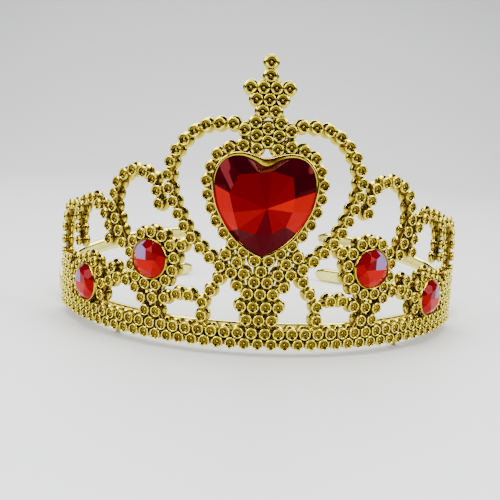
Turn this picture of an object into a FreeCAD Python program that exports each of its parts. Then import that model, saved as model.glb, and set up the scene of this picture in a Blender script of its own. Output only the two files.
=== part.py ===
"""Toy princess tiara: one gilded beadwork moulding, a two-tine comb arm at each end, five set stones.

The row frame has +Z up, the heart facing -Y, and its origin on the table under the middle
of the whole object.  The beadwork is laid out on an unrolled wall: s runs along the front
of the wall from the middle of the heart, z is the height above the table.  The hand-set places
are drawn for one bead pitch, heart and stone size, and follow those sizes when they change.
"""
import FreeCAD, Part
import math
import os
from FreeCAD import Vector

# ---- driving dimensions, millimetres -------------------------------------------------------
WALL_RADIUS = 65.3          # radius of the wall, measured to the front rings of the beads
ROW_PITCH = 3.5             # spacing of the beads along the two base rows
ROW_COUNT = 45              # beads in the lowest row
ROW_Z = 3.5                 # height of the lowest row
ROW_NEST = 0.8              # rise from one staggered row to the next, in pitches

BEAD_SPACE = 0.45           # left between neighbouring beads of a row
BEAD_DEPTH = 3.3            # front ring to back flange
RING_DEPTH = 0.9            # thickness of the front ring and of the back flange
RING_WALL = 0.375           # rim round the dish in the front ring
WAIST_STEP = 0.475          # how far the waist lies inside the ring
DISH_DEPTH = 0.6
LINK_WIDTH = 1.3            # web that joins neighbouring beads
LINK_DEPTH = 1.3
SPOKE_DEPTH = 0.9           # the same for a web from a setting to a bead
LINK_BITE = 0.55            # a web starts this far from a bead's centre, inside its waist

BAND_THICKNESS = 1.2        # smooth rim behind the two base rows
BAND_HIGH = 8.4
BAND_DROP = 0.05            # rim's lower edge below the beads
BACKING_GAP = 0.02          # rim to bead backs
NUB_DIA = 2.4               # moulding nubs that the front of the rim stands on
NUB_ANGLE = 39.0

STONE_DIA = 10.0            # round stones
STONE_TABLE = 5.6
STONE_CROWN = 1.9
HEART_WIDTH = 25.0          # heart stone
HEART_TABLE_SHARE = 0.60
HEART_CROWN = 3.4
SETTING_GAP = 0.03          # stone to setting, all round
SETTING_WALL = 0.37
SETTING_FLOOR = 0.9
SETTING_PROUD = 0.5         # setting rim ahead of the bead rings

MEDALLION_GAP = 0.075       # round setting to the bead rings about it
MEDALLION_CLOSE = 0.1       # how much closer than in a row those beads stand
OUTER_KEPT = 0.31           # share of an outer ring's beads kept on each side of its top one
OUTER_SINK = 0.075          # how far an outer setting sinks into the top of the base rows
SURROUND_GAP = 0.875        # heart stone to the bead rings about it

ARM_THICKNESS = 2.0         # comb arm
ARM_GAP = 0.65              # arm root to the end of the rim
ARM_FLARE = 9.0             # degrees that the arm leaves the wall's line outwards
ARM_RUN = 11.3              # straight run before the bend
ARM_BEND_RADIUS = 18.0
ARM_BEND_ANGLE = 79.0
TINE_RUN = 43.0             # from the bend to the tip
TINE_SWEEP = 8.0            # degrees that this stretch curves
TINE_HEIGHT = 5.2           # at the tip
ARM_HEIGHT = 4.6            # at the root
ARM_ROOT_Z = 4.8            # centre height at the root
UPPER_TIP_Z = 16.9          # centre height of the upper tine's tip

# ---- the drawing's own sizes, which the hand-set places belong to ---------------------------
DRAWN_PITCH = 3.5
DRAWN_ROW_Z = 3.5           # height of the lowest row, from which drawn heights are counted
DRAWN_REACH = 3.95          # beads nearer than this are joined by a web
DRAWN_RING = 7.0            # circle of bead centres round a round stone
DRAWN_MEDALLIONS = ((29.95, 23.35), (54.85, 13.15))
DRAWN_SURROUND = (14.9, 25.2, 53.7)     # half width, lowest and highest beads round the heart
DRAWN_FOOT = 1.8            # half the distance between the two lowest of those beads
DRAWN_HEART = 25.0          # width of the heart stone
DRAWN_HEART_Z = 39.3        # its mid-height
LIFT_FROM = 30.0            # a taller heart lifts what is drawn above this height
RING_NEAR, RING_FAR = 11.0, 24.0        # a wider ring moves all of what is near, none of what is far
RING_STRETCH = 0.5          # share of the ring's growth that the webs may stretch by

# ---- derived sizes -------------------------------------------------------------------------
SCALE = ROW_PITCH / DRAWN_PITCH
ROW_RISE = ROW_NEST * ROW_PITCH
BEAD_DIA = ROW_PITCH - BEAD_SPACE
DISH_DIA = BEAD_DIA - 2 * RING_WALL
WAIST_DIA = BEAD_DIA - 2 * WAIST_STEP
BACK_RADIUS = WALL_RADIUS - BEAD_DEPTH
BAND_OUTER = BACK_RADIUS - BACKING_GAP
BAND_INNER = BAND_OUTER - BAND_THICKNESS
BAND_LOW = ROW_Z - BEAD_DIA / 2 - BAND_DROP
ROW_HALF = (ROW_COUNT - 1) / 2 * ROW_PITCH
BAND_END_ANGLE = math.degrees((ROW_HALF + BEAD_DIA / 2) / WALL_RADIUS)
SETTING_RADIUS = STONE_DIA / 2 + SETTING_GAP + SETTING_WALL
HEART_SCALE = HEART_WIDTH / DRAWN_HEART
SURROUND_HALF = HEART_WIDTH / 2 + SURROUND_GAP + BEAD_DIA / 2
SURROUND_SCALE = (SURROUND_HALF - DRAWN_FOOT * SCALE) / (DRAWN_SURROUND[0] - DRAWN_FOOT)
SURROUND_LOW = ROW_Z + (DRAWN_SURROUND[1] - DRAWN_ROW_Z) * SCALE
HEART_CENTRE_Z = SURROUND_LOW + (DRAWN_HEART_Z - DRAWN_SURROUND[1]) * SURROUND_SCALE
HEART_LIFT = (DRAWN_SURROUND[2] - DRAWN_SURROUND[1]) * (SURROUND_SCALE - SCALE)
MEDALLION_RADIUS = SETTING_RADIUS + MEDALLION_GAP + BEAD_DIA / 2
MEDALLION_COUNT = round(2 * math.pi * MEDALLION_RADIUS / (ROW_PITCH - MEDALLION_CLOSE))
RING_GROWTH = MEDALLION_RADIUS - DRAWN_RING * SCALE
LINK_REACH = DRAWN_REACH * SCALE + RING_STRETCH * abs(RING_GROWTH)
ROWS_TOP = ROW_Z + ROW_RISE + BEAD_DIA / 2
MID_MEDALLION = (DRAWN_MEDALLIONS[0][0] * SCALE,
                 ROW_Z + (DRAWN_MEDALLIONS[0][1] - DRAWN_ROW_Z) * SCALE + RING_GROWTH)
OUTER_MEDALLION = (DRAWN_MEDALLIONS[1][0] * SCALE, ROWS_TOP + SETTING_RADIUS - OUTER_SINK)

UP = Vector(0, 0, 1)


# ---- the unrolled wall ---------------------------------------------------------------------
def normal(s):
    """Outward direction of the wall at s."""
    a = s / WALL_RADIUS
    return Vector(math.sin(a), -math.cos(a), 0)


def on_wall(s, z, radius=WALL_RADIUS):
    """Point on the wall at s and z, at a given radius from the wall's axis."""
    a = s / WALL_RADIUS
    return Vector(radius * math.sin(a), WALL_RADIUS - radius * math.cos(a), z)


def curve(points, steps=40):
    """Smooth line through hand-set points, as many short steps."""
    ends = [tuple(2 * a - b for a, b in zip(points[0], points[1]))]
    ends += list(points) + [tuple(2 * a - b for a, b in zip(points[-1], points[-2]))]
    line = []
    for p0, p1, p2, p3 in zip(ends, ends[1:], ends[2:], ends[3:]):
        for i in range(steps):
            t = i / steps
            line.append(tuple(
                0.5 * (2 * b + (c - a) * t + (2 * a - 5 * b + 4 * c - d) * t ** 2
                       + (3 * b - a - 3 * c + d) * t ** 3)
                for a, b, c, d in zip(p0, p1, p2, p3)))
    line.append(points[-1])
    return line


def share_of(value, none, whole):
    """0 at one value and 1 at another, in proportion between them and steady outside them."""
    return min(1.0, max(0.0, (value - none) / (whole - none)))


def scaled(drawn):
    """Place of a drawn point at this bead pitch."""
    return drawn[0] * SCALE, ROW_Z + (drawn[1] - DRAWN_ROW_Z) * SCALE


def lifted(drawn):
    """Place of a bead drawn near the middle, where a taller heart lifts what stands over it."""
    s, z = scaled(drawn)
    return s, z + HEART_LIFT * share_of(drawn[1], LIFT_FROM, DRAWN_SURROUND[2])


def about_heart(drawn):
    """Place of a bead drawn round the heart, which a wider heart spreads from its lowest beads."""
    s = DRAWN_FOOT * SCALE + (drawn[0] - DRAWN_FOOT) * SURROUND_SCALE
    return s, SURROUND_LOW + (drawn[1] - DRAWN_SURROUND[1]) * SURROUND_SCALE


def beside_rings(drawn):
    """Place of a bead drawn near the round stones, which their rings push out or draw in."""
    s, z = lifted(drawn) if drawn[0] < DRAWN_MEDALLIONS[0][0] else scaled(drawn)
    for middle, centre in zip(DRAWN_MEDALLIONS, (MID_MEDALLION, OUTER_MEDALLION)):
        out = (drawn[0] - middle[0], drawn[1] - middle[1])
        reach = math.hypot(*out)
        share = share_of(reach, RING_FAR, RING_NEAR)
        s += share * (centre[0] - scaled(middle)[0] + RING_GROWTH * out[0] / reach)
        z += share * (centre[1] - scaled(middle)[1] + RING_GROWTH * out[1] / reach)
    return s, z


def length(line):
    return sum(math.dist(a, b) for a, b in zip(line, line[1:]))


def along(points, count, place):
    """Bead centres evenly spaced along a smooth line through drawn points, once they are placed.

    The count is the drawn one; a line that grows more than the bead pitch gets more beads.
    """
    line = curve([place(point) for point in points])
    gaps = round((count - 1) * length(line) / (length(curve(points)) * SCALE))
    lengths = [0.0]
    for a, b in zip(line, line[1:]):
        lengths.append(lengths[-1] + math.dist(a, b))
    beads = []
    step = 0
    for i in range(gaps + 1):
        target = lengths[-1] * i / gaps
        while step < len(line) - 2 and lengths[step + 1] < target:
            step += 1
        share = (target - lengths[step]) / (lengths[step + 1] - lengths[step])
        beads.append(tuple(a + (b - a) * share for a, b in zip(line[step], line[step + 1])))
    return beads


def round_ring(centre, kept):
    """Bead centres round a medallion, counted both ways from its top bead."""
    beads = []
    for k in range(-kept, kept + 1):
        a = math.radians(90 + k * 360 / MEDALLION_COUNT)
        beads.append((centre[0] + MEDALLION_RADIUS * math.cos(a),
                      centre[1] + MEDALLION_RADIUS * math.sin(a)))
    return beads


def row(z, first, last, stagger=0.0):
    """Bead centres of a level row from index first to last."""
    return [((i + stagger) * ROW_PITCH, z) for i in range(first, last + 1)]


def both(beads):
    """The beads given for +s, and their mirror images, with those on the middle kept once."""
    return beads + [(-s, z) for s, z in beads if abs(s) > 0.01]


def across(z, width, count):
    """Level row of beads centred on the middle line."""
    return [((i - (count - 1) / 2) * width, z) for i in range(count)]


# ---- the beadwork --------------------------------------------------------------------------
def middle_groups():
    half = (ROW_COUNT - 1) // 2
    groups = {
        "bead_row_lower": row(ROW_Z, -half, half),
        "bead_row_upper": row(ROW_Z + ROW_RISE, -half, half - 1, 0.5),
    }
    stem = across(9.8, 3.3, 3) + across(13.2, 3.25, 4) + across(16.6, 3.25, 3)
    stem += across(19.65, 3.3, 2) + [(0.0, 22.5)]
    fan = [(6.0, 18.5), (4.35, 21.7), (7.6, 21.7), (6.25, 24.5), (9.2, 26.3)]
    groups["centre_stem"] = [lifted(bead) for bead in stem + both(fan)]
    side = [(1.8, 25.2), (7.6, 29.4), (12.0, 34.7), (14.4, 41.0), (14.9, 44.5),
            (12.6, 50.8), (9.3, 52.9), (5.9, 53.7), (2.6, 53.0)]
    groups["heart_surround"] = both(along(side, 13, about_heart))
    neck = [(0.0, 54.9), (2.75, 56.3), (0.0, 58.0), (5.75, 57.5), (3.1, 59.4)]
    finial = across(62.1, 3.2, 2) + across(64.9, 3.2, 3) + across(67.7, 3.2, 4)
    finial += [(0.0, 70.6), (0.0, 73.8)]
    groups["top_cross"] = [lifted(bead) for bead in both(neck) + finial]
    return groups


def side_groups():
    """Beadwork of the +X side."""
    groups = {}
    crest = [(8.7, 58.8), (15.7, 58.1), (21.4, 54.3), (25.0, 48.5), (25.2, 42.1),
             (20.8, 32.9), (16.3, 27.6), (10.7, 23.2)]
    leg = [(10.9, 19.9), (12.9, 16.7), (15.0, 13.5), (15.1, 9.9)]
    groups["big_arch"] = along(crest, 16, beside_rings)
    groups["big_arch"] += [beside_rings(bead) for bead in leg + [(21.1, 27.6)]]
    low = [(18.7, 14.8), (22.0, 14.8), (25.5, 13.4), (29.1, 13.0), (32.8, 12.5), (34.9, 15.0),
           (38.0, 16.4), (41.4, 16.7), (44.6, 15.2), (43.5, 19.2), (28.0, 9.5), (31.5, 9.4)]
    groups["low_scroll"] = [beside_rings(bead) for bead in low]
    groups["mid_medallion"] = round_ring(MID_MEDALLION, (MEDALLION_COUNT - 1) // 2)
    groups["outer_medallion"] = round_ring(OUTER_MEDALLION, round(MEDALLION_COUNT * OUTER_KEPT))
    hook = [(39.7, 26.4), (42.5, 33.0), (43.6, 36.0), (42.0, 42.4), (36.2, 46.0),
            (29.8, 43.7), (28.0, 37.7)]
    groups["mid_scroll"] = along(hook, 12, beside_rings)
    link = [(45.0, 26.8), (45.3, 30.4), (47.5, 33.8), (54.0, 37.2), (59.6, 33.8),
            (61.6, 30.4), (60.8, 24.0)]
    groups["link_scroll"] = along(link, 10, beside_rings)
    hook = [(62.9, 34.2), (69.4, 33.0), (75.0, 26.0), (75.8, 18.4)]
    end = row(ROW_Z + 2 * ROW_RISE, 19, 22) + row(ROW_Z + 3 * ROW_RISE, 18, 21, 0.5)
    end += row(ROW_Z + 4 * ROW_RISE, 19, 22) + row(ROW_Z + 5 * ROW_RISE, 19, 20, 0.5)
    groups["outer_scroll"] = along(hook, 7, beside_rings) + end
    return groups


def spool(s, z):
    """One bead: dished front ring, waist and back flange, square to the wall."""
    def disc(radius, near, far):
        return Part.makeCylinder(radius, far - near, on_wall(s, z, near), normal(s))
    ring = disc(BEAD_DIA / 2, WALL_RADIUS - RING_DEPTH, WALL_RADIUS)
    ring = ring.cut(disc(DISH_DIA / 2, WALL_RADIUS - DISH_DEPTH, WALL_RADIUS + 1))
    waist = disc(WAIST_DIA / 2, BACK_RADIUS + RING_DEPTH, WALL_RADIUS - RING_DEPTH)
    flange = disc(BEAD_DIA / 2, BACK_RADIUS, BACK_RADIUS + RING_DEPTH)
    return ring.fuse([waist, flange]).removeSplitter()


def bar(start, end, out, depth):
    """Square bar between two points, its depth along the outward direction."""
    run = end.sub(start)
    side = out.cross(run).normalize() * (LINK_WIDTH / 2)
    lift = run.cross(side).normalize() * (depth / 2)
    corners = [start + side + lift, start - side + lift, start - side - lift, start + side - lift]
    return Part.Face(Part.makePolygon(corners + corners[:1])).extrude(run)


def bead_middle(bead):
    return on_wall(bead[0], bead[1], (WALL_RADIUS + BACK_RADIUS) / 2)


def web(a, b):
    """Bar between the waists of two beads."""
    start, end = bead_middle(a), bead_middle(b)
    bite = end.sub(start).normalize() * LINK_BITE
    return bar(start + bite, end - bite, normal((a[0] + b[0]) / 2), LINK_DEPTH)


def spoke(foot, bead):
    """Bar from a point in a setting's wall to the waist of a bead beside it."""
    return bar(foot, bead_middle(bead), normal(bead[0]), SPOKE_DEPTH).cut(spool(*bead))


def beadwork(groups, taken, made):
    """Solids of the bead groups, joined to the earlier ones by webs that stop at their surface."""
    shapes = {}
    for name, beads in groups.items():
        pieces = [spool(s, z) for s, z in beads]
        for i, a in enumerate(beads):
            for b in beads[i + 1:]:
                if math.dist(a, b) < LINK_REACH:
                    pieces.append(web(a, b))
            for b in taken:
                if math.dist(a, b) < LINK_REACH:
                    pieces.append(web(a, b).cut(spool(*b)))
        shape = pieces[0].fuse(pieces[1:]).removeSplitter()
        near = [other for other in made if other.BoundBox.intersect(shape.BoundBox)]
        shapes[name] = shape.cut(near) if near else shape
        taken = taken + beads
        made = made + [shapes[name]]
    return shapes


# ---- rim, nubs -----------------------------------------------------------------------------
def inner_band():
    """Smooth rim behind the base rows."""
    start = BAND_END_ANGLE
    rim = Part.makeCylinder(BAND_OUTER, BAND_HIGH - BAND_LOW, Vector(0, 0, 0), UP, 2 * start)
    rim = rim.cut(Part.makeCylinder(BAND_INNER, BAND_HIGH, Vector(0, 0, -1), UP))
    rim.rotate(Vector(0, 0, 0), UP, -90 - start)
    rim.translate(Vector(0, WALL_RADIUS, BAND_LOW))
    return rim


def band_nubs():
    nubs = []
    for sign in (-1, 1):
        s = sign * math.radians(NUB_ANGLE) * WALL_RADIUS
        foot = on_wall(s, 0, BAND_INNER + BAND_THICKNESS / 2)
        nubs.append(Part.makeCone(NUB_DIA / 2 - 0.6, NUB_DIA / 2, BAND_LOW, foot, UP))
    return Part.makeCompound(nubs)


# ---- settings and stones -------------------------------------------------------------------
def heart_wire(grow, y):
    """Heart outline in the wall's front plane, grown all round."""
    k = HEART_SCALE
    lobe_x, lobe_z, lobe_r = 6.3 * k, HEART_CENTRE_Z + 5.6 * k, 6.2 * k + grow
    cleft = Vector(0, y, HEART_CENTRE_Z + 9.9 * k + grow * 1.2)
    tip = Vector(0, y, HEART_CENTRE_Z - 11.9 * k - grow * 1.35)

    def lobe(degrees):
        a = math.radians(degrees)
        return Vector(lobe_x + lobe_r * math.cos(a), y, lobe_z + lobe_r * math.sin(a))
    cheek = Vector(8.3 * k + grow * 0.75, y, HEART_CENTRE_Z - 4.9 * k - grow * 0.65)
    right = [Part.Arc(cleft, lobe(118), lobe(80)).toShape(),
             Part.Arc(lobe(80), lobe(30), lobe(-18)).toShape(),
             Part.Arc(lobe(-18), cheek, tip).toShape()]
    left = [edge.mirror(Vector(0, 0, 0), Vector(1, 0, 0)) for edge in right]
    return Part.Wire(Part.__sortEdges__(right + left))


def heart_prism(grow, back, front):
    """Heart block between two distances behind (+) the bead rings."""
    return Part.Face(heart_wire(grow, back)).extrude(Vector(0, front - back, 0))


def heart_setting(beads, surround):
    """Cup round the heart stone, with a spoke to every bead of its surround."""
    front = -SETTING_PROUD
    floor = BEAD_DEPTH - SETTING_FLOOR
    cup = heart_prism(SETTING_GAP + SETTING_WALL, BEAD_DEPTH, front)
    spokes = []
    for bead in beads:
        middle = bead_middle(bead)
        depth = min(middle.y, BEAD_DEPTH - SPOKE_DEPTH / 2)
        ring = heart_wire(SETTING_GAP + SETTING_WALL / 2, depth)
        spokes.append(spoke(ring.distToShape(Part.Vertex(middle))[1][0][0], bead))
    well = heart_prism(SETTING_GAP, floor, front - 1)
    return cup.fuse(spokes).cut(well).removeSplitter().cut(surround)


def heart_stone():
    """Flat-backed heart with a bevelled crown."""
    back = BEAD_DEPTH - SETTING_FLOOR
    front = -SETTING_PROUD
    block = heart_prism(0, back, front)
    small = heart_wire(0, front - HEART_CROWN)
    centre = Vector(0, front - HEART_CROWN, HEART_CENTRE_Z)
    small.scale(HEART_TABLE_SHARE, centre)
    crown = Part.makeLoft([heart_wire(0, front), small], True, True)
    return block.fuse(crown).removeSplitter()


def disc(centre, radius, near, far):
    """Round block square to the wall at a medallion, between two depths behind the rings."""
    s, z = centre
    start = on_wall(s, z, WALL_RADIUS - near)
    return Part.makeCylinder(radius, near - far, start, normal(s))


def round_setting(centre, beads, surround):
    """Cup round a round stone, with a spoke to every bead that stands close to it."""
    front = -SETTING_PROUD
    cup = disc(centre, SETTING_RADIUS, BEAD_DEPTH, front)
    middle = bead_middle(centre)
    spokes = []
    for bead in beads:
        if math.dist(bead, centre) < SETTING_RADIUS + BEAD_DIA:
            out = bead_middle(bead).sub(middle).normalize()
            spokes.append(spoke(middle + out * (SETTING_RADIUS - SETTING_WALL / 2), bead))
    well = disc(centre, STONE_DIA / 2 + SETTING_GAP, BEAD_DEPTH - SETTING_FLOOR, front - 1)
    return cup.fuse(spokes).cut(well).removeSplitter().cut(surround)


def round_stone(centre):
    """Flat-backed round stone: girdle in the setting, bevelled crown ahead of it."""
    s, z = centre
    base = disc(centre, STONE_DIA / 2, BEAD_DEPTH - SETTING_FLOOR, -SETTING_PROUD)
    start = on_wall(s, z, WALL_RADIUS + SETTING_PROUD)
    crown = Part.makeCone(STONE_DIA / 2, STONE_TABLE / 2, STONE_CROWN, start, normal(s))
    return base.fuse(crown).removeSplitter()


# ---- comb arms -----------------------------------------------------------------------------
def arm_path():
    """Corner points and headings of the +X arm's centre line, from the rim's end to the tip."""
    root_angle = math.radians(BAND_END_ANGLE) + ARM_GAP / BAND_OUTER
    root = on_wall(root_angle * WALL_RADIUS, 0, BAND_INNER + BAND_THICKNESS / 2)
    leave = math.degrees(root_angle) - ARM_FLARE
    turned = leave + ARM_BEND_ANGLE
    bend_start = root + heading(leave) * ARM_RUN
    bend_end = turn(bend_start, leave, turned, ARM_BEND_RADIUS)
    sweep_radius = TINE_RUN / math.radians(TINE_SWEEP)
    tip = turn(bend_end, turned, turned + TINE_SWEEP, sweep_radius)
    return root, leave, bend_start, turned, bend_end, sweep_radius, tip


def heading(degrees):
    a = math.radians(degrees)
    return Vector(math.cos(a), math.sin(a), 0)


def turn(start, before, after, radius):
    """End point of a left-hand arc from one heading to another."""
    centre = start + heading(before + 90) * radius
    return centre + heading(after - 90) * radius


def arm_wall(height):
    """Curved upright wall along the arm's centre line."""
    root, leave, bend_start, turned, bend_end, sweep_radius, tip = arm_path()
    last = turned + TINE_SWEEP
    half = ARM_THICKNESS / 2
    edges = []
    for side in (-1, 1):
        off = [p + heading(h + 90) * (side * half)
               for p, h in ((root, leave), (bend_start, leave), (bend_end, turned), (tip, last))]
        mids = []
        for start, before, after, radius in ((bend_start, leave, turned, ARM_BEND_RADIUS),
                                             (bend_end, turned, last, sweep_radius)):
            mean = (before + after) / 2
            mids.append(turn(start, before, mean, radius) + heading(mean + 90) * (side * half))
        edges.append(Part.makeLine(off[0], off[1]))
        edges.append(Part.Arc(off[1], mids[0], off[2]).toShape())
        edges.append(Part.Arc(off[2], mids[1], off[3]).toShape())
        if side == -1:
            ends = [off[0], off[3]]
        else:
            edges += [Part.makeLine(ends[0], off[0]), Part.makeLine(ends[1], off[3])]
    return Part.Face(Part.Wire(Part.__sortEdges__(edges))).extrude(UP * height)


def tine_side(stations, width):
    """Side outline of a tine as a block across X, from (y, z, half height) stations."""
    top = [Vector(0, y, z + h) for y, z, h in stations]
    low = [Vector(0, y, z - h) for y, z, h in stations]
    y, z, h = stations[-1]
    nose = Part.Arc(top[-1], Vector(0, y + h, z), low[-1]).toShape()
    upper, lower = Part.BSplineCurve(), Part.BSplineCurve()
    upper.interpolate(top)
    lower.interpolate(low)
    edges = [upper.toShape(), nose, lower.toShape(), Part.makeLine(low[0], top[0])]
    return Part.Face(Part.Wire(Part.__sortEdges__(edges))).extrude(Vector(width, 0, 0))


def comb_arm():
    """The +X arm: one strip at the rim that forks past the bend into two tines."""
    root, leave, bend_start, turned, bend_end, sweep_radius, tip = arm_path()
    h_root, h_tip = ARM_HEIGHT / 2, TINE_HEIGHT / 2
    back = tip.y - h_tip
    run = back - bend_start.y

    def lower(share, z, h):
        return (bend_start.y + share * run, z, h)
    low = [(root.y - 2, ARM_ROOT_Z, h_root), lower(0.0, ARM_ROOT_Z - 0.1, h_root),
           lower(0.45, (ARM_ROOT_Z + h_tip) / 2 + 0.1, h_root + 0.1), lower(1.0, h_tip, h_tip)]
    rise = UPPER_TIP_Z - ARM_ROOT_Z
    high = [lower(0.02, ARM_ROOT_Z, h_root - 0.4), lower(0.20, ARM_ROOT_Z + 0.22 * rise, h_root - 0.3),
            lower(0.42, ARM_ROOT_Z + 0.56 * rise, h_root - 0.1),
            lower(0.62, ARM_ROOT_Z + 0.83 * rise, h_root + 0.1),
            lower(0.80, ARM_ROOT_Z + 0.96 * rise, h_tip - 0.05), lower(1.0, UPPER_TIP_Z, h_tip)]
    reach = WALL_RADIUS + ARM_RUN + ARM_BEND_RADIUS
    fork = tine_side(low, reach).fuse(tine_side(high, reach))
    return arm_wall(UPPER_TIP_Z + TINE_HEIGHT).common(fork).removeSplitter()


# ---- assembly ------------------------------------------------------------------------------
def mirrored(shape):
    return shape.mirror(Vector(0, 0, 0), Vector(1, 0, 0))


def build():
    nodes = {"inner_band": inner_band(), "band_nubs": band_nubs()}
    middle = middle_groups()
    nodes.update(beadwork(middle, [], []))
    placed = [bead for beads in middle.values() for bead in beads]
    sides = side_groups()
    halves = beadwork(sides, placed, [nodes[name] for name in middle])
    halves["mid_setting"] = round_setting(
        MID_MEDALLION, sides["mid_medallion"], [halves["mid_medallion"]])
    halves["outer_setting"] = round_setting(
        OUTER_MEDALLION, sides["outer_medallion"] + middle["bead_row_upper"],
        [halves["outer_medallion"], nodes["bead_row_upper"]])
    halves["mid_stone"] = round_stone(MID_MEDALLION)
    halves["outer_stone"] = round_stone(OUTER_MEDALLION)
    halves["comb_arm"] = comb_arm()
    for name, shape in halves.items():
        nodes["right_" + name] = shape
        nodes["left_" + name] = mirrored(shape)
    nodes["heart_setting"] = heart_setting(middle["heart_surround"], [nodes["heart_surround"]])
    nodes["heart_stone"] = heart_stone()
    return nodes


def write(nodes):
    """Moves the model so that its origin is under the middle of its length, and writes it."""
    front = nodes["heart_stone"].optimalBoundingBox(False, False).YMin
    back = nodes["right_comb_arm"].optimalBoundingBox(False, False).YMax
    os.makedirs("parts", exist_ok=True)
    for name, shape in nodes.items():
        shape.translate(Vector(0, -(front + back) / 2, 0))
        shape.exportStep("parts/" + name + ".step")
        box = shape.BoundBox
        print(name, shape.isValid(), len(shape.Solids), round(shape.Volume, 1),
              [round(v, 1) for v in (box.XMin, box.YMin, box.ZMin, box.XMax, box.YMax, box.ZMax)])


write(build())
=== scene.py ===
"""Toy princess tiara: gilded beadwork, smooth rim and comb arms, faceted red stones.

The beadwork is laid out on an unrolled wall: s runs along the front of the wall from the middle
of the heart, z is the height above the table.  Points are millimetres until make_piece turns them
into metres; the stage and the lights are given in metres.
"""
import math
import random
import bpy
import numpy as np
from mathutils import Matrix, Vector


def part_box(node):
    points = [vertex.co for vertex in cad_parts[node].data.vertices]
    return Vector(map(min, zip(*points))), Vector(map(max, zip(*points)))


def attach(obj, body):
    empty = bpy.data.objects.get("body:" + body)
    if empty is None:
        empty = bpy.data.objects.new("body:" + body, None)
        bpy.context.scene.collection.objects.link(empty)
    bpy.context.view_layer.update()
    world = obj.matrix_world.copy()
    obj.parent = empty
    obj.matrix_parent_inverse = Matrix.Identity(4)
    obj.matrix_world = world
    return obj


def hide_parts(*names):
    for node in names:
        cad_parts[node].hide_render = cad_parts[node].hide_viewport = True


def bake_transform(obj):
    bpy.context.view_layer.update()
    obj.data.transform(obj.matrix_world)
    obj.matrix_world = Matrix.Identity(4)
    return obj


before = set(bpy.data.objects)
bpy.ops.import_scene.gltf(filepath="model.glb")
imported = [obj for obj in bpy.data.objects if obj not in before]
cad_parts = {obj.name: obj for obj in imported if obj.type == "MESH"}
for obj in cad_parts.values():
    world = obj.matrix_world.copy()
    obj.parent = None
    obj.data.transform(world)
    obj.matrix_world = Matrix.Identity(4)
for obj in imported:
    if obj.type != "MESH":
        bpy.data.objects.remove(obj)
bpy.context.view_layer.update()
MM = 0.001

# ---- the moulding's sizes, millimetres ------------------------------------------------------
WALL_RADIUS = 65.3
ROW_PITCH = 3.5
ROW_COUNT = 45
ROW_Z = 3.5
ROW_RISE = 2.8
BEAD_DIA = 3.05
BEAD_DEPTH = 3.3
FLANGE_DIA = 4.1            # back flange of a bead, which runs into the next bead's
ROW_FLANGE_DIA = 3.5        # the same in the two base rows
BEAD_SEGMENTS = 22
LINK_WIDTH = 1.3            # web that joins neighbouring beads
LINK_BITE = 0.55
LINK_REACH = 3.95           # beads nearer than this are joined
LINK_PAINTED_SHADE = 0.75          # how much painted shade darkens the webs

BAND_THICKNESS = 1.2
BAND_LOW = 1.925
BAND_HIGH = 8.4
BACKING_GAP = 0.02          # rim to bead backs
NUB_DIA = 2.4
NUB_ANGLE = 39.0

STONE_DIA = 10.0
STONE_TABLE = 5.6
STONE_CROWN = 1.9
HEART_CROWN = 3.4
HEART_CENTRE_Z = 39.3
SETTING_GAP = 0.03
SETTING_WALL = 0.37
SETTING_PROUD = 0.5
SETTING_FLOOR = 0.9
MEDALLION_RADIUS = 7.0
MEDALLION_COUNT = 13
OUTER_KEPT = 4              # beads of an outer ring on each side of its top one
MID_MEDALLION = (29.95, 23.35)
OUTER_MEDALLION = (54.85, 13.15)

ARM_THICKNESS = 2.0
ARM_GAP = 0.65
ARM_FLARE = 9.0
ARM_RUN = 11.3
ARM_BEND_RADIUS = 18.0
ARM_BEND_ANGLE = 79.0
TINE_RUN = 43.0
TINE_SWEEP = 8.0
TINE_HEIGHT = 5.2
ARM_HEIGHT = 4.6
ARM_ROOT_Z = 4.8
UPPER_TIP_Z = 16.9
ARM_SEGMENTS = 28
CREASE_DEPTH = 0.16         # shares of the half thickness and of the half height
CREASE_WIDTH = 0.14
ARM_FREE_STEP = 14          # step along the arm at which an end point is taken; nothing uses that point

BACK_RADIUS = WALL_RADIUS - BEAD_DEPTH
BAND_OUTER = BACK_RADIUS - BACKING_GAP
BAND_INNER = BAND_OUTER - BAND_THICKNESS
ROW_HALF = (ROW_COUNT - 1) / 2 * ROW_PITCH
BAND_END_ANGLE = (ROW_HALF + BEAD_DIA / 2) / WALL_RADIUS
WALL_FRONT_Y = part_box("bead_row_lower")[0].y / MM

dice = random.Random(7)


# ---- places on the wall ---------------------------------------------------------------------
def wall_axes(s):
    """Tangent, upward and outward directions of the wall at s."""
    a = s / WALL_RADIUS
    return (np.array((math.cos(a), math.sin(a), 0.0)), np.array((0.0, 0.0, 1.0)),
            np.array((math.sin(a), -math.cos(a), 0.0)))


def on_wall(s, z, radius=WALL_RADIUS):
    """Point on the wall at s and z, at a given radius from the wall's axis."""
    a = s / WALL_RADIUS
    return np.array((radius * math.sin(a), WALL_FRONT_Y + WALL_RADIUS - radius * math.cos(a), z))


def curve(points, steps=40):
    """Smooth line through given points, as many short steps."""
    ends = [tuple(2 * a - b for a, b in zip(points[0], points[1]))]
    ends += list(points) + [tuple(2 * a - b for a, b in zip(points[-1], points[-2]))]
    line = []
    for p0, p1, p2, p3 in zip(ends, ends[1:], ends[2:], ends[3:]):
        for i in range(steps):
            t = i / steps
            line.append(tuple(
                0.5 * (2 * b + (c - a) * t + (2 * a - 5 * b + 4 * c - d) * t ** 2
                       + (3 * b - a - 3 * c + d) * t ** 3)
                for a, b, c, d in zip(p0, p1, p2, p3)))
    line.append(points[-1])
    return line


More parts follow.
